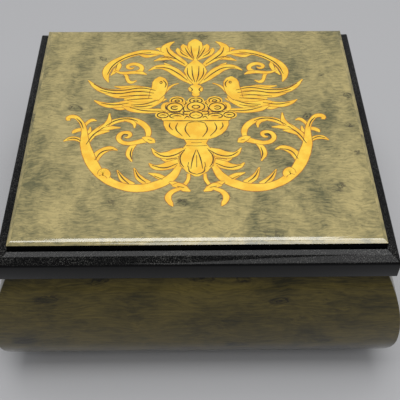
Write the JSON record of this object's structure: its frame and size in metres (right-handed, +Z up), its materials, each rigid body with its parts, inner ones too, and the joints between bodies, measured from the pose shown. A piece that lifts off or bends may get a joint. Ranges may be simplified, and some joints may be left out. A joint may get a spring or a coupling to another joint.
{
  "type": "wind up music box",
  "caption": "Lidded wooden music box with bulging veneered sides, hinged inlaid lid, jewellery space and a key-wound comb and cylinder movement under a clear cover.",
  "frame": {"origin": "middle of the surface the box stands on, under the middle of its outer box", "axes": "+X to the right along the front, +Y from the front to the hinged back, +Z up"},
  "size_m": [0.152, 0.141, 0.07],
  "materials": {
    "burl_veneer": "olive-tan burl veneer under gloss lacquer, gold inlay on the lid",
    "black_lacquer": "black piano lacquer on wood",
    "plywood": "bare birch plywood",
    "velvet": "dark red velvet over board or foam",
    "acrylic": "clear polished acrylic sheet",
    "brass": "polished brass",
    "steel": "bright plated or ground steel"
  },
  "bodies": {
    "case": {"wall_front": "burl_veneer", "wall_back": "burl_veneer", "wall_left": "burl_veneer", "wall_right": "burl_veneer", "base_board": "plywood", "lining_front": "velvet", "lining_back": "velvet", "lining_left": "velvet", "lining_right": "velvet", "cross_divider": "velvet", "long_divider": "velvet", "floor_pad": "velvet", "ring_base": "velvet", "ring_roll_1": "velvet", "ring_roll_2": "velvet", "ring_roll_3": "velvet", "cover_ledge": "velvet", "movement_cover": "acrylic", "hinge_left_case_leaf": "brass", "hinge_right_case_leaf": "brass", "hinge_left_pin": "brass", "hinge_right_pin": "brass", "hinge_left_case_screw_1": "brass", "hinge_left_case_screw_2": "brass", "hinge_right_case_screw_1": "brass", "hinge_right_case_screw_2": "brass", "bedplate": "steel", "comb": "steel", "comb_screw_1": "steel", "comb_screw_2": "steel", "mounting_screw_1": "steel", "mounting_screw_2": "steel", "mounting_screw_3": "steel", "barrel_bridge": "steel", "governor_frame": "steel"},
    "lid": {"lid_panel": "burl_veneer", "lid_frame_front": "black_lacquer", "lid_frame_back": "black_lacquer", "lid_frame_left": "black_lacquer", "lid_frame_right": "black_lacquer", "lid_lining": "velvet", "hinge_left_lid_leaf": "brass", "hinge_right_lid_leaf": "brass", "hinge_left_lid_screw_1": "brass", "hinge_left_lid_screw_2": "brass", "hinge_right_lid_screw_1": "brass", "hinge_right_lid_screw_2": "brass"},
    "barrel": {"spring_barrel": "brass", "mainspring": "steel"},
    "winding": {"winding_arbor": "steel", "winding_key": "brass", "ratchet_wheel": "brass"},
    "cylinder": {"cylinder_shaft": "steel", "music_cylinder": "brass", "cylinder_wheel": "brass"},
    "train": {"governor_wheel": "brass"},
    "fly": {"governor_fly": "brass"},
    "pawl": {"click": "steel"},
    "stop": {"stop_lever": "brass"}
  },
  "joints": [
    {"name": "lid_hinge", "type": "hinge", "parent": "case", "child": "lid", "pos_m": [0, 0.0666, 0.05585], "axis": [-1, 0, 0], "range_deg": [0, 100]},
    {"name": "barrel_spin", "type": "hinge", "parent": "case", "child": "barrel", "pos_m": [-0.033, 0.0084, 0.0285], "axis": [0, 0, 1], "continuous": true},
    {"name": "winding_spin", "type": "hinge", "parent": "case", "child": "winding", "pos_m": [-0.033, 0.0084, 0.0125], "axis": [0, 0, 1], "continuous": true},
    {"name": "cylinder_spin", "type": "hinge", "parent": "case", "child": "cylinder", "pos_m": [-0.033, 0.0221, 0.031], "axis": [0, 1, 0], "continuous": true},
    {"name": "train_spin", "type": "hinge", "parent": "case", "child": "train", "pos_m": [-0.0252, 0.0443, 0.031], "axis": [0, 1, 0], "continuous": true},
    {"name": "fly_spin", "type": "hinge", "parent": "case", "child": "fly", "pos_m": [-0.0196, 0.045, 0.031], "axis": [0, 0, 1], "continuous": true},
    {"name": "click_pivot", "type": "hinge", "parent": "case", "child": "pawl", "pos_m": [-0.041, 0.0084, 0.0291], "axis": [0, 0, 1], "range_deg": [0, 10], "stiffness_Nm_per_rad": 0.0005},
    {"name": "stop_pivot", "type": "hinge", "parent": "case", "child": "stop", "pos_m": [-0.0322, 0.0498, 0.0325], "axis": [0, -1, 0], "range_deg": [0, 8.5], "stiffness_Nm_per_rad": 0.0002, "springref_deg": 11.46}
  ],
  "couplings": [
    {"joint": "barrel_spin", "follows": "cylinder_spin", "ratio": 0.33333},
    {"joint": "train_spin", "follows": "cylinder_spin", "ratio": -5.5},
    {"joint": "fly_spin", "follows": "cylinder_spin", "ratio": 33},
    {"joint": "stop_pivot", "follows": "lid_hinge", "ratio": 0.08}
  ]
}
